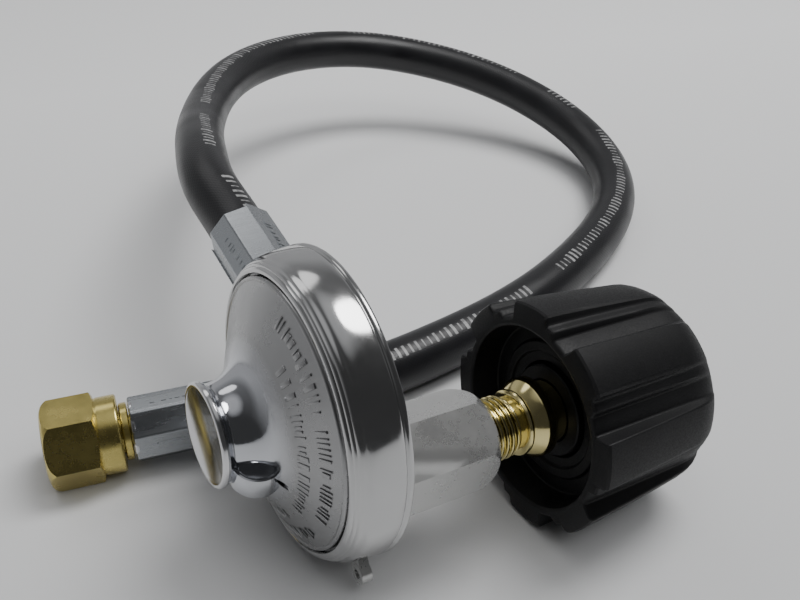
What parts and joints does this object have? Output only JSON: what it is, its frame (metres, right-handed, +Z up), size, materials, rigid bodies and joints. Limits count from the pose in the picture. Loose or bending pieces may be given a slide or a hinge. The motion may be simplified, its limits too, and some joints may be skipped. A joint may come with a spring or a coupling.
{
  "type": "propane regulator hose",
  "caption": "Low-pressure gas regulator with screw-on inlet handwheel, crimped rubber hose and swivel flare nut.",
  "frame": {"origin": "bottom centre of the box round the regulator, bonnet and handwheel, on the surface it lies on; the hose and its fittings are left out of that box", "axes": "+X along the regulator's axis, from the snout to the handwheel, +Z up, +Y to the side where the hose leaves"},
  "size_m": [0.2299, 0.2496, 0.0665],
  "materials": {
    "polished_cast_aluminium": "tumbled and polished die casting, turned crimp band",
    "satin_aluminium": "drawn sleeve, crimped, bright bevelled edges",
    "brass": "bright turned brass",
    "zinc_plated_steel": "zinc plated steel",
    "black_plastic": "fine grained moulded black",
    "hose_rubber": "smooth extruded cover with a printed line of plain dashes",
    "seal_rubber": "moulded nitrile"
  },
  "bodies": {
    "regulator": {"regulator_body": "polished_cast_aluminium", "bonnet": "polished_cast_aluminium", "closing_cap": "polished_cast_aluminium", "diaphragm": "seal_rubber", "main_spring": "zinc_plated_steel", "lever_pin": "zinc_plated_steel", "orifice": "brass", "inlet_nipple": "brass", "excess_flow_spring": "zinc_plated_steel", "excess_flow_retainer": "brass", "outlet_stem": "zinc_plated_steel", "outlet_sleeve": "satin_aluminium", "hose": "hose_rubber", "end_stem": "brass", "end_ferrule": "satin_aluminium"},
    "bushing": {"thermal_bushing": "black_plastic"},
    "handwheel": {"handwheel": "black_plastic"},
    "flare_nut": {"flare_nut": "brass"},
    "spring_cup": {"spring_cup": "zinc_plated_steel"},
    "adjusting_screw": {"adjusting_screw": "black_plastic"},
    "diaphragm_set": {"diaphragm_plate": "zinc_plated_steel", "diaphragm_washer": "zinc_plated_steel", "pusher_stem": "brass"},
    "lever": {"lever": "zinc_plated_steel"},
    "valve_block": {"seat_holder": "brass", "seat_disc": "seal_rubber"},
    "poppet": {"excess_flow_poppet": "brass"}
  },
  "joints": [
    {"name": "handwheel_slide", "type": "slide", "parent": "regulator", "child": "bushing", "axis": [0.9971, 0, -0.0762], "range_m": [-0.003, 0]},
    {"name": "handwheel_spin", "type": "hinge", "parent": "bushing", "child": "handwheel", "pos_m": [0.02321, -0.01465, 0.02546], "axis": [0.9971, 0, -0.0762], "continuous": true},
    {"name": "flare_nut_spin", "type": "hinge", "parent": "regulator", "child": "flare_nut", "pos_m": [-0.06979, 0.04776, 0.00958], "axis": [0.9796, -0.2011, 0], "continuous": true},
    {"name": "cup_slide", "type": "slide", "parent": "regulator", "child": "spring_cup", "axis": [0.9971, 0, -0.0762], "range_m": [-0.0008, 0.0008]},
    {"name": "adjusting_screw_turn", "type": "hinge", "parent": "spring_cup", "child": "adjusting_screw", "pos_m": [-0.04427, 0.00459, 0.03488], "axis": [0.9971, 0, -0.0762], "range_deg": [-270, 270]},
    {"name": "diaphragm_slide", "type": "slide", "parent": "regulator", "child": "diaphragm_set", "axis": [0.9971, 0, -0.0762], "range_m": [-0.0013, 0], "stiffness_N_per_m": 800, "deforming": ["main_spring", "diaphragm"]},
    {"name": "lever_hinge", "type": "hinge", "parent": "regulator", "child": "lever", "pos_m": [-0.02403, -0.00736, 0.03068], "axis": [0.0744, -0.2161, 0.9735], "range_deg": [-0.3, 7]},
    {"name": "valve_slide", "type": "slide", "parent": "regulator", "child": "valve_block", "axis": [0.9971, 0, -0.0762], "range_m": [-0.0001, 0.0008]},
    {"name": "poppet_slide", "type": "slide", "parent": "regulator", "child": "poppet", "axis": [0.9971, 0, -0.0762], "range_m": [-0.005, 0], "stiffness_N_per_m": 40, "deforming": ["excess_flow_spring"]}
  ],
  "couplings": [
    {"joint": "lever_hinge", "follows": "diaphragm_slide", "rad_per_m": -81.699},
    {"joint": "valve_slide", "follows": "diaphragm_slide", "ratio": -0.6091},
    {"joint": "cup_slide", "follows": "adjusting_screw_turn", "m_per_rad": 0.00015915}
  ]
}
